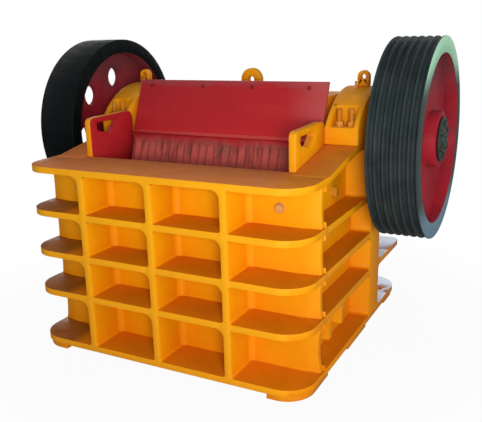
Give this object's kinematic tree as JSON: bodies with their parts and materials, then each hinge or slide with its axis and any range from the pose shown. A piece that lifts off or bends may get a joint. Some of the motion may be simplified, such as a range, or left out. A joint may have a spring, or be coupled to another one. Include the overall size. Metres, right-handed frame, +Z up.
{
  "type": "jaw crusher",
  "caption": "Single-toggle jaw crusher with a ribbed box frame, a swing jaw on an eccentric shaft, a flywheel and a grooved belt pulley.",
  "frame": {"origin": "bottom centre of the whole machine, under the foot pads", "axes": "+X to the belt pulley, +Z up, -Y the front with the fixed jaw"},
  "size_m": [1.998, 1.516, 1.401],
  "materials": {
    "frame_yellow": "gloss enamel",
    "guard_red": "gloss enamel",
    "rim_black": "satin enamel",
    "jaw_steel": "raw cast",
    "bare_steel": "machined"
  },
  "bodies": {
    "frame": {"front_wall": "frame_yellow", "rear_wall": "frame_yellow", "left_side_wall": "frame_yellow", "right_side_wall": "frame_yellow", "foot_pads": "frame_yellow", "fixed_jaw_plate": "jaw_steel", "left_cheek_plate": "guard_red", "right_cheek_plate": "guard_red", "left_bearing_housing": "frame_yellow", "right_bearing_housing": "frame_yellow", "left_bearing_cover": "frame_yellow", "right_bearing_cover": "frame_yellow", "left_lifting_lug": "frame_yellow", "right_lifting_lug": "frame_yellow", "toggle_block": "frame_yellow", "toggle_plate": "jaw_steel", "shims": "bare_steel", "spring_cups": "frame_yellow"},
    "rotor": {"eccentric_shaft": "bare_steel", "flywheel": "rim_black", "belt_pulley": "rim_black", "left_shaft_cap": "rim_black", "right_shaft_cap": "rim_black"},
    "swing_jaw": {"swing_jaw": "frame_yellow", "moving_jaw_plate": "guard_red", "guard_plate": "guard_red", "jaw_lifting_lug": "frame_yellow", "jaw_toggle_seat": "bare_steel", "rod_brackets": "frame_yellow", "tension_rods": "bare_steel", "rod_nuts": "bare_steel"}
  },
  "joints": [
    {"name": "shaft_spin", "type": "hinge", "parent": "frame", "child": "rotor", "pos_m": [0, 0.157, 0.938], "axis": [1, 0, 0], "continuous": true},
    {"name": "jaw_swing", "type": "hinge", "parent": "rotor", "child": "swing_jaw", "pos_m": [0, 0.157, 0.928], "axis": [1, 0, 0], "continuous": true}
  ],
  "couplings": [
    {"joint": "jaw_swing", "follows": "shaft_spin", "ratio": -1}
  ]
}
